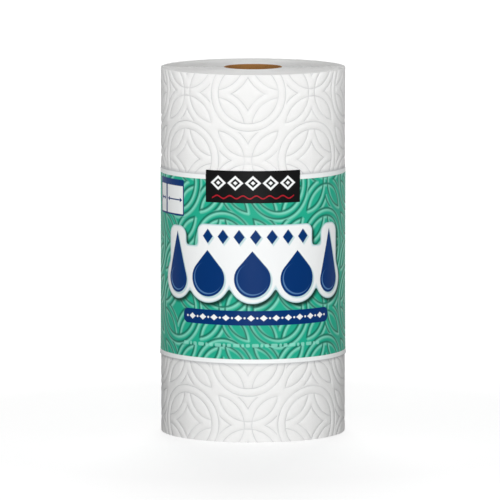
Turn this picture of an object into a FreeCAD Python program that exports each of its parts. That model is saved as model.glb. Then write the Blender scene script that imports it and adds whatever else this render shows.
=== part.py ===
"""Paper towel roll: an embossed towel web wound on a card core, held by a printed sleeve.

The roll stands on one end. The origin is the centre of that end, +Z is up along the core, and the
middle of the sleeve's print faces -Y. Sizes are in millimetres and angles in degrees.
"""
import FreeCAD, Part
import math
import os

# Core tube, as long as the sheet is wide
SHEET_WIDTH = 279.4
CORE_BORE_RADIUS = 21.3
CORE_WALL = 0.7
GLUE_GAP = 0.05

# Wound web, and the free end of its last sheet on the back of the roll
ROLL_RADIUS = 70.5
WEB_THICKNESS = 0.5
TAIL_ANGLE = 62.0
TAIL_RUNOUT = 22.0

# A few of the web's turns, shown as one spiral line pressed into each end
TURN_LINE_START = 28.0
TURN_LINE_STEP = 9.0
TURN_LINE_HALF_TURNS = 3
TURN_LINE_WIDTH = 0.8
TURN_LINE_DEPTH = 0.5

# Emboss: rings and crosses of leaves by turns on the sites of a lattice, with four leaves in each ring
EMBOSS_ACROSS = 52.0
EMBOSS_UP = 50.5
RING_FROM_FRONT = -3.0
RING_FROM_TOP = 13.8
RING_RADIUS = 25.6
RING_BAND = 5.8
RING_DEPTH = 0.6
LEAF_MARGIN = 1.1
EMBOSS_EDGE = 1.0

# Printed sleeve, with a tab on the front of its top edge and a welded lap down its back
SLEEVE_BOTTOM = 60.1
SLEEVE_HEIGHT = 143.5
SLEEVE_WALL = 0.2
SLEEVE_GAP = 0.05
TAB_WIDTH = 74.3
TAB_HEIGHT = 3.3
LAP_ANGLE = 112.0
LAP_WIDTH = 11.0
LAP_RAMP = 3.0

# Worked out from the sizes above
CORE_RADIUS = CORE_BORE_RADIUS + CORE_WALL
BORE_RADIUS = CORE_RADIUS + GLUE_GAP
SLEEVE_TOP = SLEEVE_BOTTOM + SLEEVE_HEIGHT
SLEEVE_BORE_RADIUS = ROLL_RADIUS + SLEEVE_GAP
SLEEVE_RADIUS = SLEEVE_BORE_RADIUS + SLEEVE_WALL
CIRCUMFERENCE = 2 * math.pi * ROLL_RADIUS
RING_INNER = RING_RADIUS - RING_BAND / 2
RING_OUTER = RING_RADIUS + RING_BAND / 2

# Motifs are drawn at the angle MOTIF_ANGLE and turned from there to their columns. The front is -Y.
MOTIF_ANGLE = 180.0
FRONT_ANGLE = 270.0
CLEAR = 2.0

Vector = FreeCAD.Vector
ORIGIN = Vector(0, 0, 0)
UP = Vector(0, 0, 1)


def polar(radius, angle, z=0.0):
    """Point at a radius from the roll's axis, an angle from +X and a height."""
    turn = math.radians(angle)
    return Vector(radius * math.cos(turn), radius * math.sin(turn), z)


def arc_angle(length, radius):
    """Angle in degrees that a length along the arc spans at a radius."""
    return math.degrees(length / radius)


def tube(inner, outer, bottom, height):
    """Plain tube along Z."""
    base = Vector(0, 0, bottom)
    return Part.makeCylinder(outer, height, base).cut(Part.makeCylinder(inner, height, base))


def prism(edges, height):
    """Solid between a closed flat outline and its copy, a height above."""
    return Part.Face(Part.Wire(edges)).extrude(UP * height)


def line(start, end):
    return Part.LineSegment(start, end).toShape()


def arc(start, middle, end):
    return Part.Arc(start, middle, end).toShape()


def tail_step():
    """Crescent taken off beyond the free end of the web, where the turn below shows.

    It is one web deep at the end's edge, and runs out to nothing along the arc."""
    runout = TAIL_ANGLE + arc_angle(TAIL_RUNOUT, ROLL_RADIUS)
    middle = (TAIL_ANGLE + runout) / 2
    inner = polar(ROLL_RADIUS - WEB_THICKNESS, TAIL_ANGLE)
    outer = polar(ROLL_RADIUS + CLEAR, TAIL_ANGLE)
    outer_end = polar(ROLL_RADIUS + CLEAR, runout)
    inner_end = polar(ROLL_RADIUS, runout)
    outline = [
        line(inner, outer),
        arc(outer, polar(ROLL_RADIUS + CLEAR, middle), outer_end),
        line(outer_end, inner_end),
        arc(inner_end, polar(ROLL_RADIUS - WEB_THICKNESS / 2, middle), inner),
    ]
    return prism(outline, SHEET_WIDTH)


def turn_lines(z, inward):
    """Spiral groove of V section in the end face at height z, cut in the direction of inward.

    Half turns have two centres by turns, half a step apart, so that each begins where the last ends."""
    half_turns = []
    for count in range(TURN_LINE_HALF_TURNS):
        side = 1 if count % 2 == 0 else -1
        centre = Vector(0 if side > 0 else TURN_LINE_STEP / 2, 0, z)
        radius = TURN_LINE_START + count * TURN_LINE_STEP / 2
        rim = centre + Vector(side * radius, 0, 0)
        half = Vector(TURN_LINE_WIDTH / 2, 0, 0)
        depth = Vector(0, 0, inward * TURN_LINE_DEPTH)
        section = Part.Face(Part.makePolygon([rim - half, rim + half, rim + depth, rim - half]))
        half_turns.append(section.revolve(centre, UP, 180))
    return half_turns


def wrapped_circle(across, up, radius, depth=0.0):
    """Circle of the flat sheet laid on the roll, its centre across and up from a motif's own centre.

    On the cylinder's angle and height it is an ellipse, whose minor axis is the radius as an angle."""
    surface = Part.Cylinder()
    surface.Radius = ROLL_RADIUS - depth
    flat = FreeCAD.Base.Vector2d
    angle = math.radians(MOTIF_ANGLE) + across / ROLL_RADIUS
    top = flat(angle, up + radius)
    side = flat(angle + radius / ROLL_RADIUS, up)
    return Part.Geom2d.Ellipse2d(top, side, flat(angle, up)).toShape(surface)


def ring_cutter():
    """Ring of V section pressed into the roll: two slopes from its rims down to its middle circle."""
    surface = Part.Cylinder()
    surface.Radius = ROLL_RADIUS
    reach = (RING_OUTER + CLEAR) / ROLL_RADIUS
    angle = math.radians(MOTIF_ANGLE)
    height = RING_OUTER + CLEAR
    patch = surface.toShape(angle - reach, angle + reach, -height, height)
    rims = [wrapped_circle(0, 0, RING_INNER), wrapped_circle(0, 0, RING_OUTER)]
    on_band = polar(ROLL_RADIUS, MOTIF_ANGLE, RING_RADIUS)
    pieces = patch.generalFuse(rims)[0].Faces
    band = [face for face in pieces if face.isInside(on_band, 0.001, False)][0]
    valley = wrapped_circle(0, 0, RING_RADIUS, RING_DEPTH)
    slopes = [Part.makeRuledSurface(rim, valley) for rim in band.Edges]
    shell = Part.makeShell([band] + slopes)
    shell.sewShape()
    cutter = Part.makeSolid(shell)
    if cutter.Volume < 0:
        cutter.reverse()
    return cutter


def leaf_cutter(lean):
    """Wedge whose two flat sides chip a leaf out of the roll, leaning to the right (1) or left (-1).

    The leaf fills the lens where two circles cross, each as large as a ring's inside less a margin.
    One has its centre on a site and the other half way to the next site up and across.
    Its midrib is a straight chord, so the leaf is deepest in its middle and ends in two points."""
    lens_radius = RING_INNER - LEAF_MARGIN
    centres_apart = math.hypot(EMBOSS_ACROSS, EMBOSS_UP) / 2
    half_length = math.sqrt(lens_radius ** 2 - (centres_apart / 2) ** 2)
    half_width = lens_radius - centres_apart / 2
    diagonal = math.sqrt(0.5)
    midrib = ROLL_RADIUS * (1 - math.cos(half_length * diagonal / ROLL_RADIUS))
    rim = ROLL_RADIUS * (1 - math.cos(half_width * diagonal / ROLL_RADIUS))
    slope = (midrib - rim) / half_width

    outward = polar(1, MOTIF_ANGLE)
    right = UP.cross(outward)
    along = (UP + right * lean) * diagonal
    across = (right * lean - UP) * diagonal
    surface = outward * ROLL_RADIUS
    start = surface - along * 2 * half_length
    side = 2 * half_width
    bottom = start - outward * midrib
    top = start + outward * (slope * side - midrib)
    section = Part.makePolygon([bottom, top + across * side, top - across * side, bottom])
    return Part.Face(section).extrude(along * 4 * half_length)


def placed(cutter, across, up):
    """Copy of a motif's cutter, across from the front of the roll and up from its foot."""
    copy = cutter.copy()
    copy.rotate(ORIGIN, UP, FRONT_ANGLE - MOTIF_ANGLE + arc_angle(across, ROLL_RADIUS))
    copy.translate(UP * up)
    return copy


def clears_tail(across, half):
    """Whether a motif of that half size lies wholly on the last sheet, short of its free end."""
    tail = math.radians(TAIL_ANGLE + 360 - FRONT_ANGLE) * ROLL_RADIUS
    return tail + TAIL_RUNOUT - CIRCUMFERENCE < across - half and across + half < tail


def ring_shows(up):
    """Whether some of a ring at that height is on the roll and past the sleeve's ends."""
    low, high = up - RING_OUTER, up + RING_OUTER
    on_roll = high > EMBOSS_EDGE and low < SHEET_WIDTH - EMBOSS_EDGE
    return on_roll and not (low > SLEEVE_BOTTOM and high < SLEEVE_TOP)


def leaf_shows(up, half):
    """Whether a leaf at that height is whole on the roll, with its middle past the sleeve's ends."""
    return half < up < SHEET_WIDTH - half and not SLEEVE_BOTTOM < up < SLEEVE_TOP


def emboss():
    """Cutters of all the rings and leaves that show on the bare ends of the roll.

    A ring's four leaves follow its inside. On the sites between, four leaves point outwards."""
    ring = ring_cutter()
    leaves = {lean: leaf_cutter(lean) for lean in (1, -1)}
    columns = math.ceil(CIRCUMFERENCE / EMBOSS_ACROSS)
    rows = math.ceil(SHEET_WIDTH / EMBOSS_UP) + 1
    cutters = []
    for column in range(-columns, columns + 1):
        for row in range(-rows, 2):
            across = RING_FROM_FRONT + column * EMBOSS_ACROSS
            up = SHEET_WIDTH - RING_FROM_TOP + row * EMBOSS_UP
            outwards = 1 if (column + row) % 2 else -1
            if outwards < 0 and ring_shows(up) and clears_tail(across, RING_OUTER):
                cutters.append(placed(ring, across, up))
            for right in (1, -1):
                for above in (1, -1):
                    leaf_across = across + right * EMBOSS_ACROSS / 4
                    leaf_up = up + above * EMBOSS_UP / 4
                    if leaf_shows(leaf_up, EMBOSS_UP / 4) and clears_tail(leaf_across, EMBOSS_ACROSS / 4):
                        lean = outwards * right * above
                        cutters.append(placed(leaves[lean], leaf_across, leaf_up))
    return cutters


def make_core_tube():
    return tube(CORE_BORE_RADIUS, CORE_RADIUS, 0, SHEET_WIDTH)


def make_towel_roll():
    """All the turns of the web as one solid, with its free end, its emboss and its turn lines."""
    wound = tube(BORE_RADIUS, ROLL_RADIUS, 0, SHEET_WIDTH)
    pressed = turn_lines(0, 1) + turn_lines(SHEET_WIDTH, -1)
    return wound.cut(tail_step()).cut(pressed + emboss())


def sleeve_tab():
    """Part of the film that stands up past the sleeve's top edge, in the middle of its front."""
    half = arc_angle(TAB_WIDTH / 2, SLEEVE_RADIUS)
    left, right = FRONT_ANGLE - half, FRONT_ANGLE + half
    outline = [
        line(polar(SLEEVE_BORE_RADIUS, left), polar(SLEEVE_RADIUS, left)),
        arc(polar(SLEEVE_RADIUS, left), polar(SLEEVE_RADIUS, FRONT_ANGLE), polar(SLEEVE_RADIUS, right)),
        line(polar(SLEEVE_RADIUS, right), polar(SLEEVE_BORE_RADIUS, right)),
        arc(polar(SLEEVE_BORE_RADIUS, right), polar(SLEEVE_BORE_RADIUS, FRONT_ANGLE),
            polar(SLEEVE_BORE_RADIUS, left)),
    ]
    tab = prism(outline, TAB_HEIGHT)
    tab.translate(UP * SLEEVE_TOP)
    return tab


def sleeve_lap():
    """Second layer of film over the first where the sleeve's ends are welded, with a ramp at one edge."""
    lap_end = LAP_ANGLE + arc_angle(LAP_WIDTH, SLEEVE_RADIUS)
    ramp_end = lap_end + arc_angle(LAP_RAMP, SLEEVE_RADIUS)
    middle = (LAP_ANGLE + lap_end) / 2
    under = (LAP_ANGLE + ramp_end) / 2
    inside = SLEEVE_RADIUS - SLEEVE_WALL / 2
    outside = SLEEVE_RADIUS + SLEEVE_WALL
    start, end = polar(inside, LAP_ANGLE), polar(inside, ramp_end)
    lap_start, ramp_start = polar(outside, LAP_ANGLE), polar(outside, lap_end)
    ramp_foot = polar(SLEEVE_RADIUS, ramp_end)
    outline = [
        line(start, lap_start),
        arc(lap_start, polar(outside, middle), ramp_start),
        line(ramp_start, ramp_foot),
        line(ramp_foot, end),
        arc(end, polar(inside, under), start),
    ]
    lap = prism(outline, SLEEVE_HEIGHT)
    lap.translate(UP * SLEEVE_BOTTOM)
    return lap


def make_sleeve():
    """Film tube round the middle of the roll, with its tab and its lap."""
    body = tube(SLEEVE_BORE_RADIUS, SLEEVE_RADIUS, SLEEVE_BOTTOM, SLEEVE_HEIGHT)
    return body.fuse([sleeve_lap(), sleeve_tab()]).removeSplitter()


def export(name, shape):
    """Writes one sub-part, which is one closed solid."""
    solid = shape.Solids[0]
    if len(shape.Solids) != 1 or not solid.isValid():
        raise ValueError(name + " is not one valid solid")
    solid.exportStep(os.path.join("parts", name + ".step"))
    print(name, "volume in cubic centimetres:", round(solid.Volume / 1000, 2))


def main():
    os.makedirs("parts", exist_ok=True)
    export("core_tube", make_core_tube())
    export("towel_roll", make_towel_roll())
    export("sleeve", make_sleeve())


main()
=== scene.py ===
"""Paper towel roll: card core, wound web, embossed last turn and printed sleeve, standing on its end.

The roll stands on the origin with +Z up along its core, and the middle of the print faces -Y.
Lengths are in metres unless a name or a comment says millimetres.
"""

import functools
import math

import bpy
import numpy as np
from bpy.props import FloatProperty, FloatVectorProperty, PointerProperty
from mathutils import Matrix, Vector


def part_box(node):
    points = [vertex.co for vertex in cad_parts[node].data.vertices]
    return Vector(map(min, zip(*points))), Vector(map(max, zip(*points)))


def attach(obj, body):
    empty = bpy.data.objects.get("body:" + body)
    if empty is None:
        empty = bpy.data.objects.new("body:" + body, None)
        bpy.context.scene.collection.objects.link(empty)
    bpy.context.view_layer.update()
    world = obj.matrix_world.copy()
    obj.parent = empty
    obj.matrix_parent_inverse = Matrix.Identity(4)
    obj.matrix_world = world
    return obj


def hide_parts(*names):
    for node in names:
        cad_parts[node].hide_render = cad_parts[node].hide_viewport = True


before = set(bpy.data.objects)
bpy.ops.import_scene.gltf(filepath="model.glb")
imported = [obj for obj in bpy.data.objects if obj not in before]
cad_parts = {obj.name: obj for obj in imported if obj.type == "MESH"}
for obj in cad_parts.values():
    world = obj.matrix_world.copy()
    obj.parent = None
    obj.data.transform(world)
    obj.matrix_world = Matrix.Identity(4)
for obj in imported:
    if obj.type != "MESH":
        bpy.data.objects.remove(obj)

bl_info = {
    "name": "Paper towel roll",
    "version": (1, 0, 0),
    "blender": (4, 5, 0),
    "location": "3D Viewport > Sidebar > Towel roll",
    "description": "Builds an embossed paper towel roll in a printed sleeve, and a studio round it",
    "category": "Add Mesh",
}

MM = 0.001
FRONT = math.radians(270)  # the angle that the middle of the print faces, from +X
CORE_SEAM_START = math.radians(55)  # where the core's seam meets its upper end, from +X
PERFORATION = -92.0  # millimetres round the roll from its front
FAR = 9.0  # half pitches, further off than any line of a pattern

CORE_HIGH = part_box("core_tube")[1]
ROLL_LOW, ROLL_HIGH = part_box("towel_roll")
SLEEVE_LOW, SLEEVE_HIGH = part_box("sleeve")


def srgb(red, green, blue):
    """Linear colour of three 0 to 255 screen values: a straight part near black, then the power 2.4."""
    def channel(value):
        share = value / 255
        return share / 12.92 if share <= 0.04045 else ((share + 0.055) / 1.055) ** 2.4
    return channel(red), channel(green), channel(blue)


def size(name, default, description):
    """Length property in metres."""
    return FloatProperty(name=name, description=description, default=default, unit="LENGTH",
                         subtype="DISTANCE", precision=5, min=0.0)


def colour(name, default, description):
    """Colour property from screen values."""
    return FloatVectorProperty(name=name, description=description, default=srgb(*default),
                               size=3, subtype="COLOR", min=0.0, max=1.0)


class TowelRollSizes(bpy.types.PropertyGroup):
    """Sizes that the pieces are worked out from"""

    core_radius: size("Core radius", CORE_HIGH.x, "Outside of the card core")
    core_wall: size("Core wall", 0.7 * MM, "Thickness of the card core")
    core_seam_pitch: size("Core seam pitch", 92 * MM, "Height that the core's ply seam climbs in a turn")
    web: size("Web", 0.5 * MM, "Thickness of one turn of the web")
    turn_bore: size("Turn bore", CORE_HIGH.x + 0.05 * MM, "Inside of the first turn")
    roll_radius: size("Roll radius", -ROLL_LOW.x, "Outside of the last turn")
    tail_runout: size("Tail run-out", 22 * MM, "Arc past the free end where the turn below comes up")
    emboss_across: size("Emboss across", 52.27 * MM, "Spacing of the emboss round the roll")
    emboss_up: size("Emboss up", 50.37 * MM, "Spacing of the emboss up the roll")
    emboss_depth: size("Emboss depth", 0.42 * MM, "Depth of a pressed line")
    puff_depth: size("Puff depth", 0.22 * MM, "How much lower the paper lies beside a pressed line")
    film: size("Film", 0.2 * MM, "Thickness of the sleeve")
    sleeve_radius: size("Sleeve radius", -SLEEVE_LOW.x, "Outside of the sleeve")
    sleeve_bottom: size("Sleeve bottom", SLEEVE_LOW.z, "Height of the sleeve's lower edge")
    sleeve_top: size("Sleeve top", 203.6 * MM, "Height of the sleeve's upper edge beside the tab")
    tab_top: size("Tab top", SLEEVE_HIGH.z, "Height of the tab's upper edge")
    tab_width: size("Tab width", 74.3 * MM, "Width of the tab on the sleeve's upper edge")
    lap_width: size("Lap width", 11 * MM, "Overlap of the film down its back")
    lap_ramp: size("Lap ramp", 3 * MM, "Arc over which the film climbs on to its lap")
    tail_angle: FloatProperty(name="Tail angle", description="Where the web's free end lies, from +X",
                              default=math.radians(62), subtype="ANGLE", unit="ROTATION")
    lap_angle: FloatProperty(name="Lap angle", description="Where the lap's outer edge lies, from +X",
                             default=math.radians(112), subtype="ANGLE", unit="ROTATION")


class TowelRollColours(bpy.types.PropertyGroup):
    """Colours of the finishes"""

    paper: colour("Paper", (243, 243, 242), "Bleached paper")
    # Colour the paper is darkened towards: partly pressed paper in the pressed lines, and painted shade in
    # them, beside them, in the slits and along the sleeve's edges
    paper_line_and_shade: colour("Paper line", (198, 199, 201), "Paper in a pressed line or a crease")
    card: colour("Card", (168, 120, 66), "Unbleached card of the core")
    card_fleck: colour("Card fleck", (124, 84, 44), "Dark fibres in the card")
    green: colour("Green", (38, 178, 146), "Ground of the print")
    green_line: colour("Green line", (6, 98, 78), "Dark lines of the print")
    green_light: colour("Green light", (150, 228, 208), "Light edge beside each dark line")
    navy: colour("Navy", (0, 49, 109), "Navy of the print")
    navy_light: colour("Navy light", (96, 140, 190), "Light crescents on the navy")
    white: colour("White", (246, 248, 248), "White of the print")
    white_edge: colour("White edge", (196, 222, 226), "Pale edge and cast on the white")
    shadow: colour("Shadow", (3, 34, 29), "Dark shadow printed round the plaque")
    black: colour("Black", (6, 6, 7), "Tag of the print")
    red: colour("Red", (176, 30, 44), "Rule on the tag")


# Number fields: the same formulas run on numpy arrays and on a material's nodes

class Field:
    """Number at each point of a material. Arithmetic on it adds Math nodes to its node tree."""

    def __init__(self, tree, socket):
        self.tree, self.socket = tree, socket

    def math(self, operation, *others):
        node = self.tree.nodes.new("ShaderNodeMath")
        node.operation = operation
        for target, value in zip(node.inputs, (self,) + others):
            feed(self.tree, target, value)
        return Field(self.tree, node.outputs[0])

    def clamp(self, low=0.0, high=1.0):
        """Kept between two limits."""
        return self.math("MAXIMUM", low).math("MINIMUM", high)

    def __add__(self, other):
        return self.math("ADD", other)

    def __sub__(self, other):
        return self.math("SUBTRACT", other)

    def __rsub__(self, other):
        return self.math("MULTIPLY_ADD", -1.0, other)

    def __mul__(self, other):
        return self.math("MULTIPLY", other)

    def __truediv__(self, other):
        return self.math("DIVIDE", other)

    def __mod__(self, other):
        return self.math("FLOORED_MODULO", other)

    def __lt__(self, other):
        return self.math("LESS_THAN", other)

    def __gt__(self, other):
        return self.math("GREATER_THAN", other)

    def __abs__(self):
        return self.math("ABSOLUTE")

    __radd__ = __add__
    __rmul__ = __mul__


def feed(tree, target, value):
    """Links a field or an output to an input, or sets the input's own value."""
    source = getattr(value, "socket", value)
    if isinstance(source, bpy.types.NodeSocket):
        tree.links.new(source, target)
    elif target.type == "RGBA":
        target.default_value = (*source, 1.0)
    else:
        target.default_value = source


def least(a, b):
    """Smaller of two values at each point."""
    return a.math("MINIMUM", b) if isinstance(a, Field) else np.minimum(a, b)


def most(a, b):
    """Larger of two values at each point."""
    return a.math("MAXIMUM", b) if isinstance(a, Field) else np.maximum(a, b)


def least_of(values):
    """Smallest of several values at each point."""
    return functools.reduce(least, values)


def length(a, b):
    """Square root of the sum of two squares."""
    square = a * a + b * b
    return square.math("SQRT") if isinstance(square, Field) else np.sqrt(square)


def chosen(test, yes, no):
    """One value where the test holds and the other elsewhere: no plus the test times their difference."""
    return test * (yes - no) + no


def folded(value):
    """Triangle wave of period 4 and height 2."""
    value = value % 4.0
    return least(value, 4.0 - value)


def interlace(across, up, ring, echo):
    """Distance to the nearest line of a pattern of interlaced circles, in half pitches of its lattice.

    Sites lie at every even across and up whose halves add up to an even number. The plane is folded
    on to one eighth of a cell. Round a site run two circles, of radius ring and echo. Circles of the
    same radii round the cell's corners draw the leaves and the hollow diamond inside the ring, and
    those round the next sites between draw the small square, the cross of leaves and its echo."""
    x, y = folded(across), folded(up)
    beyond = x + y > 2.0
    x, y = chosen(beyond, 2.0 - x, x), chosen(beyond, 2.0 - y, y)
    x, y = most(x, y), least(x, y)
    site, corner = length(x, y), length(x - 1.0, y - 1.0)
    side, between = length(x - 1.0, y), length(x - 2.0, y - 1.0)
    # The tests keep the stretch of each circle that shows
    lines = [
        abs(site - ring),
        abs(site - echo),
        chosen(site < ring, abs(corner - ring), FAR),
        chosen(site < 0.6, abs(corner - echo), FAR),
        chosen(x > 1.75, abs(side - ring), FAR),
        chosen((site > echo) * (side < ring + 0.03), abs(between - ring), FAR),
        chosen((site > echo + 0.06) * (x < 1.6) * (y < 0.5), abs(between - echo), FAR),
    ]
    return least_of(lines)


# The print's ground: one site and both pitches in millimetres, and the two circles in half pitches
PRINT = {"across": 19.29, "up": 197.44, "pitch_across": 43.14, "pitch_up": 48.44,
         "ring": 0.891, "echo": 1.116}


def emboss_of(sizes):
    """The emboss, in the same terms as the print's ground."""
    return {"across": -3.84, "up": 264.94, "pitch_across": sizes.emboss_across / MM,
            "pitch_up": sizes.emboss_up / MM, "ring": 0.890, "echo": 1.117}


def line_distance(across, up, pattern, interlaced=interlace):
    """Distance in millimetres to the nearest line of a pattern, at a place in millimetres."""
    x = (across - pattern["across"]) / (pattern["pitch_across"] / 2)
    y = (up - pattern["up"]) / (pattern["pitch_up"] / 2)
    scale = (pattern["pitch_across"] + pattern["pitch_up"]) / 4
    return interlaced(x, y, pattern["ring"], pattern["echo"]) * scale


# Meshes

def smooth_step(value):
    """0 below 0, 1 above 1 and a smooth cubic rise between."""
    value = np.clip(value, 0, 1)
    return value * value * (3 - 2 * value)


def waves(rng, phase, counts):
    """Sum of sines of the phase at whole counts, scaled to about 1.

    Each has a random start, and a height of one over its count."""
    total = sum(np.sin(count * phase + rng.uniform(0, 2 * math.pi)) / count for count in counts)
    return total / sum(1 / count for count in counts)


def round_points(radius, angle, height):
    """Points of a cylinder's angle and height at a radius: radius times cosine and sine, and the height."""
    return np.stack(np.broadcast_arrays(radius * np.cos(angle), radius * np.sin(angle), height), -1)


def band_quads(columns, rows, closed):
    """Quads between neighbours on a grid whose rows run round a closed profile.

    The columns close on themselves too where closed is true."""
    column = np.arange(columns if closed else columns - 1)[:, None]
    row = np.arange(rows)[None, :]
    next_column, next_row = (column + 1) % columns, (row + 1) % rows
    around = [column * rows + row, next_column * rows + row,
              next_column * rows + next_row, column * rows + next_row]
    return np.stack(around, -1).reshape(-1, 4)


def new_piece(name, points, quads, others=(), attributes=(), sharp=None):
    """Object at the origin from points, quads and a few larger faces, with vector attributes.

    Edges that turn by more than the angle sharp stay sharp. Without it, every face is flat."""
    mesh = bpy.data.meshes.new(name)
    flat = points.reshape(-1, 3)
    loops = np.concatenate([quads.ravel(), *others]).astype(np.int32)
    totals = np.concatenate([np.full(len(quads), 4), [len(face) for face in others]]).astype(np.int32)
    mesh.vertices.add(len(flat))
    mesh.vertices.foreach_set("co", flat.astype(np.float32).ravel())
    mesh.loops.add(len(loops))
    mesh.loops.foreach_set("vertex_index", loops)
    mesh.polygons.add(len(totals))
    mesh.polygons.foreach_set("loop_start", np.cumsum(totals) - totals)
    mesh.update(calc_edges=True)
    for title, values in attributes:
        attribute = mesh.attributes.new(title, "FLOAT_VECTOR", "POINT")
        attribute.data.foreach_set("vector", values.reshape(-1, 3).astype(np.float32).ravel())
    if mesh.validate():
        raise RuntimeError(name + " has faces that are not valid")
    if sharp is None:
        mesh.shade_flat()
    else:
        mesh.shade_smooth()
        mesh.set_sharp_from_angle(angle=sharp)
    piece = bpy.data.objects.new(name, mesh)
    bpy.context.scene.collection.objects.link(piece)
    return piece


def settle(piece, material, node):
    """Gives a piece its material, and lets it stand for a node of the frame."""
    piece.data.materials.append(material)
    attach(piece, "root")
    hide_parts(node)


def core_mesh(sizes):
    """Card tube with a helical ply seam inside.

    The profile runs up the outside and down the inside. The seam lies where
    (angle - start) / (2 pi) - depth / pitch is whole. The inside's radius gains a narrow bell of the
    distance to the seam, and past it a low step that dies away."""
    columns, rows = 192, 170
    groove, groove_reach = 0.16 * MM, 0.8 * MM
    step, step_reach = 0.08 * MM, 9 * MM
    height = CORE_HIGH.z
    bore = sizes.core_radius - sizes.core_wall
    round_bore = 2 * math.pi * bore
    angle = np.linspace(0, 2 * math.pi, columns, endpoint=False)[:, None]
    rise = np.linspace(height, 0, rows)[None, :]
    turn = (angle - CORE_SEAM_START) / (2 * math.pi) - (height - rise) / sizes.core_seam_pitch
    past_seam = turn % 1.0 * round_bore
    off_seam = np.minimum(past_seam, round_bore - past_seam)
    radius = bore + groove * np.exp(-(off_seam / groove_reach) ** 2) + step * np.exp(-past_seam / step_reach)
    outer_wall = round_points(np.full((columns, 2), sizes.core_radius), angle, np.array([[0, height]]))
    points = np.concatenate([outer_wall, round_points(radius, angle, rise)], 1)

    # Distance to the seam in metres. The outside counts as a whole metre off it
    place = np.zeros_like(points)
    place[:, :2, 0] = 1.0
    place[:, 2:, 0] = off_seam
    return new_piece("core", points, band_quads(columns, rows + 2, True),
                     attributes=[("seam", place)], sharp=math.radians(50))


def last_turn_inside(sizes, turn):
    """Radius of the last turn's inside, which climbs by one web from the free end once round.

    The last turn is drawn 1.7 webs thick, so that its emboss has room."""
    return sizes.roll_radius - 1.7 * sizes.web - sizes.web * (1 - turn)


def wound_turns_mesh(sizes):
    """All the turns below the last as one spiral body, each with a crest and a valley on both ends.

    Sample n of the spiral lies n / samples turns past the free end's angle, and its inner edge at the
    radius bore + pitch n / samples. The edge one turn on is the next turn's inner edge, so neighbours
    share their valley. Radius, crest height and valley depth wander along the spiral."""
    rng = np.random.default_rng(11)
    samples = 200
    clearance, wander, crest_drop = 0.1 * MM, 0.05 * MM, 0.1 * MM
    shallow, deep, much_deeper = 0.14 * MM, 0.36 * MM, 0.8 * MM
    height = ROLL_HIGH.z
    outer = last_turn_inside(sizes, 1.0) - clearance
    turns = round((outer - sizes.turn_bore) / sizes.web) - 1
    pitch = (outer - sizes.turn_bore) / (turns + 1)
    edges, crests = samples * (turns + 1) + 1, samples * turns + 1
    turn = np.arange(edges) / samples
    phase = 2 * math.pi * turn
    angle = sizes.tail_angle + phase

    # The radius wanders by a few waves a turn, whose heights and starts change from turn to turn
    counts = (2, 3, 5, 9)
    knots = rng.uniform(-1, 1, (len(counts), turns + 4))
    weights = [np.interp(turn, np.arange(turns + 4), knot) for knot in knots]
    waver = sum(weight * np.sin(count * phase + 3 * weight) for count, weight in zip(counts, weights))
    inset = np.clip(np.minimum(turn, turns + 1 - turn) / 2, 0, 1)
    valley_radius = sizes.turn_bore + pitch * turn + wander * waver * inset
    crest_radius = (valley_radius[:crests] + valley_radius[samples:]) / 2

    def level(count, low, high):
        """Random values between low and high, four to a turn, joined by straight lines."""
        knots = rng.uniform(low, high, 4 * turns + 8)
        return np.interp(4 * turn[:count], np.arange(len(knots)), knots)

    # Lower end, then upper end: all its valleys, of which a few go much deeper, then all its crests
    parts, depths = [], []
    for upper in (False, True):
        gap = level(edges, shallow, deep) + much_deeper * smooth_step(level(edges, -5.0, 1.0))
        drop = level(crests, 0.0, crest_drop)
        parts += [round_points(valley_radius, angle, height - gap if upper else gap),
                  round_points(crest_radius, angle[:crests], height - drop if upper else drop)]
        depths += [gap / MM, np.zeros(crests)]
    points = np.concatenate(parts)
    turn_of = np.concatenate([turn, turn[:crests] + 0.5])
    place = np.stack([np.tile(turn_of, 2), np.concatenate(depths), np.zeros(len(points))], -1)

    shift = edges + crests
    valley = np.arange(crests - 1)
    crest = valley + edges
    inner_side = np.stack([valley, valley + 1, crest + 1, crest], -1)
    outer_side = np.stack([crest, crest + 1, valley + samples + 1, valley + samples], -1)
    below = np.concatenate([inner_side, outer_side])
    above = below[:, ::-1] + shift
    first = np.arange(samples)
    last = first + samples * turns
    wall_in = np.stack([first, first + shift, first + 1 + shift, first + 1], -1)
    wall_out = np.stack([last, last + 1, last + 1 + shift, last + shift], -1)
    quads = np.concatenate([below, above, wall_in, wall_out])
    begin = [0, edges, samples, samples + shift, edges + shift, shift]
    end_inner, end_outer, end_crest = samples * turns, edges - 1, shift - 1
    finish = [end_inner, end_inner + shift, end_crest + shift, end_outer + shift, end_outer, end_crest]
    return new_piece("wound_turns", points, quads, [np.array(begin), np.array(finish)],
                     attributes=[("edge", place)])


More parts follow.
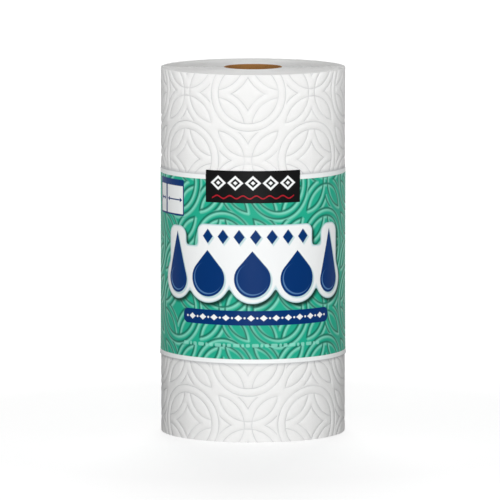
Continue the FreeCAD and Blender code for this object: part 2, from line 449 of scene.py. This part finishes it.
def last_turn_mesh(sizes):
    """Last turn of the web as one closed sheet, with its free end over the turn below.

    The profile runs up the outside and down the inside, and is carried once round from the free end.
    The outside's radius is the roll's, less a narrow and a wide bell of the distance to the nearest
    line of the emboss, and less one web beside the free end, where it eases back over the run-out.
    The film's two edges pinch it in and flatten its relief. Near the free end the sheet lifts a little,
    where no film holds it."""
    rng = np.random.default_rng(5)
    columns = 576
    line_reach, puff_reach = 0.85, 3.6  # millimetres
    pinch_share, pinch_depth, pinch_reach = 0.4, 0.4 * MM, 1.3 * MM
    loose_lift, clear_lift, inner_lift, lift_reach = 0.8 * MM, 0.45 * MM, 0.7 * MM, 7 * MM
    hold_reach, clear_reach = 30 * MM, 4 * MM
    teeth, teeth_reach = 0.6 * MM, 1.5 * MM
    rim_drop, thinnest = 0.5 * MM, 0.1 * MM
    height = ROLL_HIGH.z
    low, high = sizes.sleeve_bottom + 1.5 * MM, sizes.sleeve_top - 1.5 * MM
    rises = np.concatenate([np.linspace(0, low, 66), np.linspace(low, high, 8)[1:-1],
                            np.linspace(high, height, 84)])
    rows = len(rises)
    turn = np.linspace(0, 1, columns)[:, None]
    angle = sizes.tail_angle + 2 * math.pi * turn
    past_end = (angle - sizes.tail_angle) * sizes.roll_radius
    to_end = (sizes.tail_angle + 2 * math.pi - angle) * sizes.roll_radius
    across = (angle - FRONT) * sizes.roll_radius
    up = np.broadcast_to(rises[None, :], (columns, rows))
    off_sleeve = np.maximum(sizes.sleeve_bottom - up, up - sizes.sleeve_top)

    base = sizes.roll_radius - sizes.web * (1 - smooth_step(past_end / sizes.tail_runout))
    distance = line_distance(across / MM, up / MM, emboss_of(sizes))
    pressed = sizes.emboss_depth * np.exp(-(distance / line_reach) ** 2)
    puff = sizes.puff_depth * np.exp(-(distance / puff_reach) ** 2)
    bare = smooth_step(off_sleeve / (1 * MM))
    pinched = np.exp(-np.abs(off_sleeve) / pinch_reach)
    lowered = (pressed + puff) * bare * (1 - pinch_share * pinched) + pinch_depth * pinched
    loose = smooth_step(off_sleeve / hold_reach) * (0.7 + 0.3 * np.sin(up / (9 * MM)))
    clear = smooth_step(off_sleeve / clear_reach)
    near_end = np.exp(-to_end / lift_reach)
    lift = (loose_lift * loose + clear_lift * clear) * near_end
    inner = last_turn_inside(sizes, turn)
    outer_radius = np.maximum(base - lowered + lift, inner + thinnest)
    cut = teeth * waves(rng, up / (1.5 * MM), (1, 2, 3)) * np.exp(-to_end / teeth_reach)
    outer_wall = round_points(outer_radius, angle + cut / sizes.roll_radius, up)

    inner_up = height * np.linspace(1, 0, 5)[None, :]
    inner_off = np.maximum(sizes.sleeve_bottom - inner_up, inner_up - sizes.sleeve_top)
    inner_radius = inner + inner_lift * near_end * smooth_step(inner_off / hold_reach)
    inner_wall = round_points(inner_radius, angle, inner_up)

    def rim(z, inward):
        """Ring of points between the walls at a cut edge, which stands back from it by a little."""
        edge_radius = outer_radius[:, -1:] if z else outer_radius[:, :1]
        middle = edge_radius - 0.45 * (edge_radius - inner_radius[:, :1])
        drop = rim_drop * (1 + 0.4 * waves(rng, angle, (3, 7, 12, 19)))
        return round_points(middle, angle, z + inward * drop)

    # Place round the roll and up it in metres, and 1 on all but the outside
    points = np.concatenate([outer_wall, rim(height, -1), inner_wall, rim(0.0, 1)], 1)
    count = points.shape[1]
    place = np.zeros_like(points)
    place[:, :, 0] = across
    place[:, :, 1] = points[:, :, 2]
    place[:, rows:, 2] = 1.0
    caps = [np.arange(count), np.arange(count)[::-1] + (columns - 1) * count]
    return new_piece("last_turn", points, band_quads(columns, count, False), caps,
                     attributes=[("unrolled", place)], sharp=math.radians(55))


def sleeve_mesh(sizes):
    """Film wound once round the roll and over its own start, with a tab on its upper edge.

    The profile runs up the outside and down the inside. It is carried from the lap's outer edge once
    round and on under the lap. The radius has one film more over the lap and eases down its ramp, and
    the edges stand off a little. The upper edge steps up to the tab between two close columns."""
    rng = np.random.default_rng(3)
    rows = 60
    flare, flare_reach = 0.12 * MM, 2.5 * MM
    foot_flare, foot_reach = 0.30 * MM, 2 * MM
    edge_ripple, edge_reach, slack_ripple = 0.06 * MM, 18 * MM, 0.03 * MM
    radius = sizes.sleeve_radius
    lap = sizes.lap_width / radius
    half_tab = sizes.tab_width / 2 / radius
    start, end = sizes.lap_angle, sizes.lap_angle + 2 * math.pi + lap
    sliver = 0.004 * MM / radius
    tab_edges = [FRONT - half_tab - sliver, FRONT - half_tab, FRONT + half_tab, FRONT + half_tab + sliver]
    ramp = np.linspace(lap, lap + sizes.lap_ramp / radius, 5) + start
    even = np.linspace(start, end, 420)
    even = even[np.min(np.abs(even[:, None] - np.array(tab_edges)[None, :]), axis=1) > 0.3 * MM / radius]
    angle = np.unique(np.concatenate([even, tab_edges, ramp]))[:, None]
    columns = len(angle)

    on_tab = np.abs(angle - FRONT) < half_tab + sliver / 2
    film_height = np.where(on_tab, sizes.tab_top, sizes.sleeve_top) - sizes.sleeve_bottom
    up = film_height * np.linspace(0, 1, rows)[None, :]
    rise = sizes.sleeve_bottom + up
    to_edge = np.minimum(up, sizes.sleeve_top - rise)
    over = 1 - smooth_step((angle - start - lap) * radius / sizes.lap_ramp)
    stand = flare * np.exp(-np.maximum(to_edge, 0) / flare_reach) + foot_flare * np.exp(-up / foot_reach)
    edge_waves = 1 + waves(rng, angle * 6 + rise / (40 * MM), (1, 2, 3, 5))
    slack_waves = 1 + waves(rng, angle * 3 - rise / (55 * MM), (1, 2, 4))
    ripple = edge_ripple * edge_waves * np.exp(-to_edge / edge_reach) + slack_ripple * slack_waves
    off_lap = np.clip((end - lap - angle) * radius / (10 * MM), 0, 1)
    outer_wall = round_points(radius + sizes.film * over + stand + ripple * off_lap, angle, rise)

    # The lap's inside sinks a hair into the film below, as a weld does
    inner_rise = sizes.sleeve_bottom + film_height * np.linspace(1, 0, 4)[None, :]
    inner_wall = round_points(radius - sizes.film + 0.98 * sizes.film * over, angle, inner_rise)
    points = np.concatenate([outer_wall, inner_wall], 1)
    count = points.shape[1]
    place = np.zeros_like(points)
    place[:, :, 0] = (angle - FRONT) * radius
    place[:, :, 1] = points[:, :, 2]
    caps = [np.arange(count), np.arange(count)[::-1] + (columns - 1) * count]
    return new_piece("printed_sleeve", points, band_quads(columns, count, False), caps,
                     attributes=[("unrolled", place)], sharp=math.radians(40))


# Materials

def new_material(name):
    """Material with only an output and a Principled shader."""
    material = bpy.data.materials.new(name)
    material.use_nodes = True
    tree = material.node_tree
    tree.nodes.clear()
    shader = tree.nodes.new("ShaderNodeBsdfPrincipled")
    output = tree.nodes.new("ShaderNodeOutputMaterial")
    tree.links.new(shader.outputs["BSDF"], output.inputs["Surface"])
    return material, tree, shader


def split(tree, vector):
    """The three numbers of a vector."""
    node = tree.nodes.new("ShaderNodeSeparateXYZ")
    tree.links.new(vector, node.inputs[0])
    return [Field(tree, output) for output in node.outputs]


def attribute_fields(tree, name):
    """The three numbers of a piece's own attribute."""
    node = tree.nodes.new("ShaderNodeAttribute")
    node.attribute_name = name
    return split(tree, node.outputs["Vector"])


def noise(tree, vector, scale, detail=3.0, roughness=0.55):
    """Noise of about 0 to 1 at a vector."""
    node = tree.nodes.new("ShaderNodeTexNoise")
    node.inputs["Scale"].default_value = scale
    node.inputs["Detail"].default_value = detail
    node.inputs["Roughness"].default_value = roughness
    feed(tree, node.inputs["Vector"], vector)
    return Field(tree, node.outputs["Fac"])


def combined(tree, x, y, z=0.0):
    """Vector of three fields or numbers."""
    node = tree.nodes.new("ShaderNodeCombineXYZ")
    for target, value in zip(node.inputs, (x, y, z)):
        feed(tree, target, value)
    return node.outputs[0]


def object_position(tree):
    """Place on the piece in metres, as its output socket."""
    return tree.nodes.new("ShaderNodeTexCoord").outputs["Object"]


def mixed(tree, factor, first, second):
    """Colour between two colours by a factor."""
    node = tree.nodes.new("ShaderNodeMix")
    node.data_type = "RGBA"
    feed(tree, node.inputs["Factor"], factor)
    named = [socket for socket in node.inputs if socket.type == "RGBA"]
    feed(tree, named[0], first)
    feed(tree, named[1], second)
    return [socket for socket in node.outputs if socket.type == "RGBA"][0]


def dimmed(shade, share):
    """Colour times a share."""
    return tuple(share * channel for channel in shade)


def paint(below, mask, shade):
    """Colour below, and the shade over it where the mask is 1."""
    return mixed(mask.tree, mask, below, shade)


def relief(tree, shader, height, distance, strength):
    """Bump of the shader's normal by a height field, whose unit is a distance."""
    node = tree.nodes.new("ShaderNodeBump")
    node.inputs["Strength"].default_value = strength
    node.inputs["Distance"].default_value = distance
    feed(tree, node.inputs["Height"], height)
    tree.links.new(node.outputs["Normal"], shader.inputs["Normal"])


def inside(distance, soft):
    """1 where a signed distance is below zero and 0 above it, over a soft edge."""
    return (0.5 - distance / soft).clamp()


def interlace_group():
    """Node group of the interlaced circles, made once and shared by the paper and the print."""
    name = "interlaced circles"
    if name in bpy.data.node_groups:
        return bpy.data.node_groups[name]
    group = bpy.data.node_groups.new(name, "ShaderNodeTree")
    for title in ("Across", "Up", "Ring", "Echo"):
        group.interface.new_socket(title, in_out="INPUT", socket_type="NodeSocketFloat")
    group.interface.new_socket("Distance", in_out="OUTPUT", socket_type="NodeSocketFloat")
    entry = group.nodes.new("NodeGroupInput")
    leave = group.nodes.new("NodeGroupOutput")
    fields = [Field(group, entry.outputs[index]) for index in range(4)]
    feed(group, leave.inputs[0], interlace(*fields))
    return group


def grouped_interlace(across, up, ring, echo):
    """The interlaced circles as one group node."""
    node = across.tree.nodes.new("ShaderNodeGroup")
    node.node_tree = interlace_group()
    for target, value in zip(node.inputs, (across, up, ring, echo)):
        feed(across.tree, target, value)
    return Field(across.tree, node.outputs[0])


def rounded_box(s, z, left, right, bottom, top, corner):
    """Signed distance to an upright box with round corners."""
    u = abs(s - (left + right) / 2) - ((right - left) / 2 - corner)
    v = abs(z - (bottom + top) / 2) - ((top - bottom) / 2 - corner)
    return length(most(u, 0.0), most(v, 0.0)) + least(most(u, v), 0.0) - corner


def disc(s, z, middle, height, radius):
    """Signed distance to a disc."""
    return length(s - middle, z - height) - radius


def water_drop(s, z, middle, bottom, top, radius):
    """Signed distance to a drop: a disc, and two straight sides from it to a point above."""
    centre = bottom + radius
    lean = math.asin(radius / (top - centre))
    sides = abs(s - middle) * math.cos(lean) + (z - top) * math.sin(lean)
    shoulder = centre + radius * math.sin(lean)
    return least(disc(s, z, middle, centre, radius), most(sides, shoulder - z))


def lozenge(s, z, middle, height, half_width, half_height):
    """Signed distance to a diamond on its point."""
    slant = math.hypot(half_width, half_height)
    return (abs(s - middle) * half_height + abs(z - height) * half_width - half_width * half_height) / slant


def paper_material(sizes, colours):
    """Embossed towel paper: pressed lines, crepe across the web, fibres and a perforation. The pressed lines
    are darker partly as pressed paper and partly as painted shade, and painted shade also darkens the
    paper beside them, the slits and the paper along the sleeve's edges."""
    material, tree, shader = new_material("embossed towel paper")
    across, up, edge = attribute_fields(tree, "unrolled")
    s, z = across / MM, up / MM
    place = combined(tree, s, z)
    outside = 1.0 - edge

    # Pressed lines wobble a little, and fade where the emboss is worn
    wobble = (noise(tree, place, 0.35, 2.0) - 0.5) * 0.5
    distance = line_distance(s + wobble, z + wobble, emboss_of(sizes), grouped_interlace)
    worn = noise(tree, combined(tree, s * 0.045, z * 0.045, 3.0), 1.0, 2.0)
    # The pressed lines are darkened partly as pressed paper and partly as painted shade in the groove
    line = inside(distance - 0.26, 0.34) * outside * (worn * 2.4 - 0.35).clamp(0.15)
    # Painted shade on the paper beside each pressed line, where it lies lower
    halo_shade = inside(distance - 1.1, 2.0) * outside

    # Perforation of slits 3 mm long, with 1 mm of paper between them. The slits are darkened with painted
    # shade
    slits = inside(abs(z % 4.0 - 2.0) - 1.5, 0.2)
    perforation = inside(abs(s - PERFORATION) - 0.25, 0.2) * slits * outside

    # Painted shade on the paper along the sleeve's edges, where the film pinches it
    off_sleeve = most(sizes.sleeve_bottom / MM - z, z - sizes.sleeve_top / MM)
    sleeve_edge_shade = inside(off_sleeve - 1.0, 2.6)
    cloud = noise(tree, place, 0.11, 3.0)
    paper = mixed(tree, (cloud - 0.5) * 0.5 + 0.15, colours.paper, dimmed(colours.paper, 0.94))
    shade = least(line * 0.56 + halo_shade * 0.08 + perforation * 0.4 + sleeve_edge_shade * 0.85, 1.0)
    feed(tree, shader.inputs["Base Color"], mixed(tree, shade, paper, colours.paper_line_and_shade))
    shader.inputs["Roughness"].default_value = 0.9
    shader.inputs["Specular IOR Level"].default_value = 0.2
    shader.inputs["Sheen Weight"].default_value = 0.08
    crepe = noise(tree, combined(tree, s * 2.6, z * 0.5), 1.0, 4.0, 0.6)
    fibre = noise(tree, combined(tree, s * 1.2, z * 1.2, 7.0), 1.4, 5.0, 0.7)
    height = crepe * 0.10 + fibre * 0.10 - line * 0.30 - perforation * 0.2
    relief(tree, shader, height, 1.0 * MM, 0.6)
    return material


def cut_edge_material(colours):
    """Cut ends of the wound web: each turn a little lighter or darker, and shade in the gaps."""
    material, tree, shader = new_material("cut web ends")
    turn, depth, _ = attribute_fields(tree, "edge")
    position = object_position(tree)
    each_turn = noise(tree, combined(tree, turn * 1.9, 0.0), 1.0, 1.0, 0.5)
    few_turns = noise(tree, combined(tree, turn * 0.31, 5.0), 1.0, 2.0, 0.6)
    fibre = noise(tree, position, 900.0, 4.0, 0.7)
    patch = noise(tree, position, 60.0, 3.0)
    # Painted shade in the gaps between turns, darker where a gap is deeper
    gap = least(depth * 0.55, 1.0)
    shade = gap * 0.7 + (each_turn + few_turns - 1.0) * 1.1 + (patch - 0.5) * 0.4 + 0.12
    feed(tree, shader.inputs["Base Color"],
         mixed(tree, shade.clamp(), dimmed(colours.paper, 0.97), dimmed(colours.paper, 0.72)))
    shader.inputs["Roughness"].default_value = 0.95
    shader.inputs["Specular IOR Level"].default_value = 0.15
    relief(tree, shader, fibre, 0.3 * MM, 0.6)
    return material


def card_material(colours):
    """Unbleached card: long fibres, dark flecks and a darker line along the ply seam."""
    material, tree, shader = new_material("core card")
    seam, _, _ = attribute_fields(tree, "seam")
    position = object_position(tree)
    stretched = tree.nodes.new("ShaderNodeMapping")
    stretched.inputs["Rotation"].default_value = (0.0, math.radians(35), 0.0)
    stretched.inputs["Scale"].default_value = (1.0, 1.0, 0.25)
    tree.links.new(position, stretched.inputs["Vector"])
    fibre = noise(tree, stretched.outputs[0], 1400.0, 5.0, 0.7)
    fleck = noise(tree, position, 700.0, 2.0, 0.5)
    cloud = noise(tree, position, 45.0, 3.0)
    dark = inside(0.66 - fleck, 0.06) * 0.6 + (fibre - 0.5) * 0.9 + (cloud - 0.5) * 0.5 + 0.15
    dark = dark + inside(seam / MM - 0.5, 0.6) * 0.45
    feed(tree, shader.inputs["Base Color"], mixed(tree, dark.clamp(), colours.card, colours.card_fleck))
    shader.inputs["Roughness"].default_value = 0.85
    shader.inputs["Specular IOR Level"].default_value = 0.3
    relief(tree, shader, fibre * 0.6 + cloud * 0.4, 0.2 * MM, 0.7)
    return material


# Print. Every length is in millimetres, round the sleeve from its front or up from the floor

PRINT_SOFT = 0.4  # width of a shape's soft edge
DROPS = [
    # middle, bottom, top, radius
    (-66.5, 111.5, 158.5, 10.8),
    (-36, 110.5, 146, 14),
    (-0.5, 110.5, 146, 14),
    (35, 110.5, 146, 14),
    (67, 111.5, 160.5, 10.3),
]
PLAQUE_BOXES = [
    # left, right, bottom, top, corner
    (-66, 66, 122, 149, 4),
    (-45, 48.5, 143, 166, 6),
    (-77, -56, 125, 163, 8),
    (57, 77.5, 125, 165, 8),
]
LOZENGE_STEP = 12.57
BEAD_STEP = 9.65
GEM_STEP = 13.44
DASH_STEP = 14.5


def bellies(s, z, inset):
    """Signed distance to each drop's round part, drawn in by an inset."""
    return [disc(s, z, middle, bottom + radius, radius - inset) for middle, bottom, _, radius in DROPS]


def all_drops(s, z):
    """Signed distance to the five drops."""
    return least_of([water_drop(s, z, *drop) for drop in DROPS])


def lozenge_row(s, z):
    """Signed distance to the row of lozenges above the drops."""
    row = rounded_box(s, z, -42, 46, 149, 164, 0.5)
    return most(row, lozenge((s + 42) % LOZENGE_STEP, z, 6.3, 156.6, 4.3, 5.6))


def plaque(s, z):
    """Signed distance to the plaque: boxes and a wider disc round each drop, smoothly joined."""
    parts = bellies(s, z, -4.8) + [rounded_box(s, z, *box) for box in PLAQUE_BOXES]
    return functools.reduce(lambda a, b: a.math("SMOOTH_MIN", b, 5.0), parts) + 0.2


def print_ground(s, z, colours):
    """Green ground with interlaced circles, each dark line with a soft light edge to its lower right."""
    tone = noise(s.tree, combined(s.tree, s * 0.02, z * 0.03), 1.0, 2.0)
    dark = line_distance(s, z, PRINT, grouped_interlace)
    light = line_distance(s - 1.3, z + 1.3, PRINT, grouped_interlace)
    ground = mixed(s.tree, tone, dimmed(colours.green, 0.86), colours.green)
    ground = paint(ground, inside(light - 0.9, 2.1) * 0.85, colours.green_light)
    return paint(ground, inside(dark - 0.66, 1.4) * 0.98, colours.green_line)


def print_dashes(below, s, z, colours):
    """Faint row of dashes low on the sleeve, in threes."""
    row = rounded_box(s, z, -59.5, 56.5, 70, 78, 0.4)
    along = (s + 59.5) % DASH_STEP
    dashes = least_of([rounded_box(along, z, left, right, 72.8, 75.4, 0.9)
                       for left, right in ((0.8, 5.8), (7.2, 9.2), (10.6, 13.6))])
    return paint(below, inside(most(row, dashes), 0.6) * 0.7, colours.green_light)


def print_plaque(below, s, z, colours):
    """White plaque with a pale edge, and a soft dark shadow to its lower right."""
    below = paint(below, inside(plaque(s - 1.5, z + 1.7) - 0.8, 2.4) * 0.92, colours.shadow)
    face = plaque(s, z)
    below = paint(below, inside(face, PRINT_SOFT), colours.white_edge)
    return paint(below, inside(face + 0.9, 0.9), colours.white)


def print_drops(below, s, z, colours):
    """Navy drops and lozenges, with a pale cast beside them and a thin light crescent in each drop."""
    cast = least(all_drops(s - 1.1, z + 1.1), lozenge_row(s - 1.0, z + 1.0)) - 0.2
    below = paint(below, inside(cast, 1.0), colours.white_edge)
    below = paint(below, inside(least(all_drops(s, z), lozenge_row(s, z)), PRINT_SOFT), colours.navy)
    crescent = most(least_of(bellies(s, z, 1.8)), 0.0 - least_of(bellies(s - 0.8, z - 0.8, 1.9)))
    return paint(below, inside(crescent, 0.5) * 0.75, colours.navy_light)


def print_bar(below, s, z, colours):
    """Navy bar with a row of white lozenges, and a bead between each two."""
    bar = rounded_box(s, z, -59, 65.5, 89.4, 100.6, 4.6)
    below = paint(below, inside(bar, PRINT_SOFT), colours.navy)
    row = rounded_box(s, z, -55.6, 62.2, 91, 99, 0.2)
    along, middle, height = (s + 54.6) % BEAD_STEP, 4.82, 95.0
    beads = least(lozenge(along, z, middle, height, 3.0, 2.3),
                  disc(abs(along - middle), z, middle, height, 0.8))
    return paint(below, inside(most(row, beads), PRINT_SOFT), colours.white)


def print_pictogram(below, s, z, colours):
    """Pictogram of a narrow and a wide sheet, each with a double arrow for its width."""
    board = rounded_box(s, z, -96.2, -58.8, 170, 197.5, 1.0)
    below = paint(below, inside(board, PRINT_SOFT), colours.navy)
    for left, right in ((-94.7, -84.2), (-81.9, -60.0)):
        sheet = rounded_box(s, z, left, right, 171.3, 192.6, 0.6)
        below = paint(below, inside(sheet, PRINT_SOFT), colours.white)
        shaft = rounded_box(s, z, left + 2, right - 2, 181.5, 182.5, 0.2)
        to_side = least(s - (left + 0.8), (right - 0.8) - s)
        heads = most(abs(z - 182.0) - to_side * 0.62, to_side - 2.9)
        below = paint(below, inside(least(shaft, heads), 0.3), colours.navy)
    return below


def print_borders(below, z, sizes, colours):
    """White stripe along both edges of the film, with a thin shade at its cut."""
    below = paint(below, inside(least(z - 63.6, 199.8 - z), PRINT_SOFT), colours.white)
    # Painted shade along the film's cut edge
    cut = least(z - sizes.sleeve_bottom / MM, sizes.sleeve_top / MM - z)
    return paint(below, inside(cut - 0.45, 0.5) * 0.7, dimmed(colours.white, 0.55))


def print_tag(below, s, z, colours):
    """Black tag that runs up on to the tab, with a row of double lozenges over a wavy red rule."""
    tag = rounded_box(s, z, -37.4, 37.2, 182.4, 215, 0.4)
    below = paint(below, inside(tag, PRINT_SOFT), colours.black)
    row = rounded_box(s, z, -33.6, 33.6, 188, 206, 0.2)
    gem = lozenge((s + 33.6) % GEM_STEP, z, GEM_STEP / 2, 197.6, 6.2, 5.6)
    gems = least(most(gem, -1.6 - gem), gem + 3.0)
    below = paint(below, inside(most(row, gems), PRINT_SOFT), colours.white)
    rule = abs(z - 186.9 - (s * 0.62).math("SINE") * 1.1) - 0.5
    ends = rounded_box(s, z, -32, 32, 184, 190, 0.2)
    return paint(below, inside(most(rule, ends), PRINT_SOFT), colours.red)


def film_material(sizes, colours):
    """Printed film: a ground, and plain shapes over it in fields of colour."""
    material, tree, shader = new_material("printed film")
    across, up, _ = attribute_fields(tree, "unrolled")
    s, z = across / MM, up / MM
    finish = print_ground(s, z, colours)
    for layer in (print_dashes, print_plaque, print_drops, print_bar, print_pictogram):
        finish = layer(finish, s, z, colours)
    finish = print_borders(finish, z, sizes, colours)
    finish = print_tag(finish, s, z, colours)
    feed(tree, shader.inputs["Base Color"], finish)
    shader.inputs["Roughness"].default_value = 0.46
    shader.inputs["Specular IOR Level"].default_value = 0.07
    slack = noise(tree, combined(tree, s * 0.09, z * 0.03), 1.0, 3.0)
    grain = noise(tree, combined(tree, s, z), 1.1, 2.0)
    relief(tree, shader, slack + grain * 0.04, 1.0 * MM, 0.35)
    return material


def floor_material():
    """Pale floor. The camera, mirrors and glass see it lighter, and it keeps the roll's shadow."""
    material, tree, shader = new_material("studio floor")
    shader.inputs["Roughness"].default_value = 0.9
    shader.inputs["Specular IOR Level"].default_value = 0.1
    position = object_position(tree)
    dust = noise(tree, position, 3.0)
    feed(tree, shader.inputs["Base Color"], mixed(tree, dust, (0.32, 0.32, 0.32), (0.35, 0.35, 0.35)))
    shader.inputs["Emission Color"].default_value = (1.0, 1.0, 1.0, 1.0)

    # The glow rises from 0.7 beside the roll to 1.1 further off
    x, y, _ = split(tree, position)
    far = ((length(x, y) - 0.25) / 0.6).clamp()
    feed(tree, shader.inputs["Emission Strength"], seen_rays(tree) * (far * 0.4 + 0.7))
    return material


def seen_rays(tree):
    """1 on rays from the camera, from mirrors and through glass, 0 on rays that light the object."""
    path = tree.nodes.new("ShaderNodeLightPath")
    names = ("Is Camera Ray", "Is Glossy Ray", "Is Transmission Ray")
    return functools.reduce(most, [Field(tree, path.outputs[name]) for name in names])


# Stage

WORLD_LEVEL = 0.09
LENS, SENSOR_WIDTH = 482.5, 36.0  # millimetres
CAMERA_PLACE, CAMERA_TARGET = (0.0, -5.09, 0.751), (-0.0023, 0.0, 0.1385)
LAMP_TARGET = (0.0, 0.0, 0.14)
LAMPS = [
    # name, place, width, height, watts
    ("front_lamp", (0.0, -3.2, 0.47), 1.6, 0.9, 81.0),
    ("left_lamp", (-0.3, -0.12, 0.42), 0.2, 0.2, 0.3),
    ("right_lamp", (0.3, -0.12, 0.42), 0.2, 0.2, 0.3),
    ("top_lamp", (0.0, -0.4, 1.5), 0.8, 0.8, 2.6),
    ("back_lamp", (0.0, 2.6, 0.9), 1.6, 1.2, 50.0),
]


def aim(thing, target):
    """Turns a camera or a lamp so that its -Z points at a place."""
    way = Vector(target) - thing.location
    thing.rotation_euler = way.to_track_quat("-Z", "Y").to_euler()


def make_world():
    """World whose light is even, and which the camera sees as white."""
    world = bpy.data.worlds.new("studio")
    bpy.context.scene.world = world
    world.use_nodes = True
    tree = world.node_tree
    tree.nodes.clear()
    back = tree.nodes.new("ShaderNodeBackground")
    output = tree.nodes.new("ShaderNodeOutputWorld")
    back.inputs["Color"].default_value = (1.0, 1.0, 1.0, 1.0)
    feed(tree, back.inputs["Strength"], seen_rays(tree) * (1.0 - WORLD_LEVEL) + WORLD_LEVEL)
    tree.links.new(back.outputs[0], output.inputs["Surface"])


def make_floor():
    """Large square at height 0."""
    half = 12.0
    square = np.array([[-half, -half, 0], [half, -half, 0], [half, half, 0], [-half, half, 0]])
    floor = new_piece("floor", square, np.array([[0, 1, 2, 3]]))
    floor.data.materials.append(floor_material())


def make_lamps():
    """Soft rectangular lamps round the roll."""
    for name, place, width, height, watts in LAMPS:
        light = bpy.data.lights.new(name, "AREA")
        light.shape, light.size, light.size_y, light.energy = "RECTANGLE", width, height, watts
        lamp = bpy.data.objects.new(name, light)
        bpy.context.scene.collection.objects.link(lamp)
        lamp.location = place
        lamp.visible_camera = False
        aim(lamp, LAMP_TARGET)


def make_camera():
    """Long lens at the photograph's angle."""
    data = bpy.data.cameras.new("camera")
    data.sensor_width, data.lens = SENSOR_WIDTH, LENS
    data.clip_start, data.clip_end = 0.05, 60.0
    camera = bpy.data.objects.new("camera", data)
    bpy.context.scene.collection.objects.link(camera)
    camera.location = CAMERA_PLACE
    aim(camera, CAMERA_TARGET)
    bpy.context.scene.camera = camera
    bpy.context.scene.view_settings.view_transform = "Standard"


# Add-on

class TOWELROLL_OT_core(bpy.types.Operator):
    """Makes the card core, in place of the frame's plain tube"""

    bl_idname = "towelroll.core"
    bl_label = "Core"

    def execute(self, context):
        scene = context.scene
        settle(core_mesh(scene.towel_roll_sizes), card_material(scene.towel_roll_colours),
               "core_tube")
        return {"FINISHED"}


class TOWELROLL_OT_wound_turns(bpy.types.Operator):
    """Makes all the turns below the last, which show on both ends"""

    bl_idname = "towelroll.wound_turns"
    bl_label = "Wound turns"

    def execute(self, context):
        scene = context.scene
        settle(wound_turns_mesh(scene.towel_roll_sizes), cut_edge_material(scene.towel_roll_colours),
               "towel_roll")
        return {"FINISHED"}


class TOWELROLL_OT_last_turn(bpy.types.Operator):
    """Makes the embossed last turn with its free end"""

    bl_idname = "towelroll.last_turn"
    bl_label = "Last turn"

    def execute(self, context):
        scene = context.scene
        sizes = scene.towel_roll_sizes
        settle(last_turn_mesh(sizes), paper_material(sizes, scene.towel_roll_colours),
               "towel_roll")
        return {"FINISHED"}


class TOWELROLL_OT_sleeve(bpy.types.Operator):
    """Makes the printed sleeve with its tab and its lap"""

    bl_idname = "towelroll.sleeve"
    bl_label = "Printed sleeve"

    def execute(self, context):
        scene = context.scene
        sizes = scene.towel_roll_sizes
        settle(sleeve_mesh(sizes), film_material(sizes, scene.towel_roll_colours),
               "sleeve")
        return {"FINISHED"}


class TOWELROLL_OT_stage(bpy.types.Operator):
    """Makes the floor, the lamps, the world and the camera"""

    bl_idname = "towelroll.stage"
    bl_label = "Studio"

    def execute(self, context):
        make_world()
        make_floor()
        make_lamps()
        make_camera()
        return {"FINISHED"}


STEPS = (TOWELROLL_OT_core, TOWELROLL_OT_wound_turns, TOWELROLL_OT_last_turn, TOWELROLL_OT_sleeve,
         TOWELROLL_OT_stage)


class TOWELROLL_PT_panel(bpy.types.Panel):
    """Lists the steps and the values they use"""

    bl_label = "Towel roll"
    bl_idname = "TOWELROLL_PT_panel"
    bl_space_type = "VIEW_3D"
    bl_region_type = "UI"
    bl_category = "Towel roll"

    def draw(self, context):
        for step in STEPS:
            self.layout.operator(step.bl_idname)
        for group in (context.scene.towel_roll_sizes, context.scene.towel_roll_colours):
            column = self.layout.column(align=True)
            for name in group.__annotations__:
                column.prop(group, name)


CLASSES = (TowelRollSizes, TowelRollColours) + STEPS + (TOWELROLL_PT_panel,)


def register():
    for item in CLASSES:
        bpy.utils.register_class(item)
    bpy.types.Scene.towel_roll_sizes = PointerProperty(type=TowelRollSizes)
    bpy.types.Scene.towel_roll_colours = PointerProperty(type=TowelRollColours)


def unregister():
    del bpy.types.Scene.towel_roll_colours
    del bpy.types.Scene.towel_roll_sizes
    for item in reversed(CLASSES):
        bpy.utils.unregister_class(item)


def main():
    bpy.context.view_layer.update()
    register()
    bpy.ops.towelroll.core()
    bpy.ops.towelroll.wound_turns()
    bpy.ops.towelroll.last_turn()
    bpy.ops.towelroll.sleeve()
    bpy.ops.towelroll.stage()


if __name__ == "__main__":
    main()
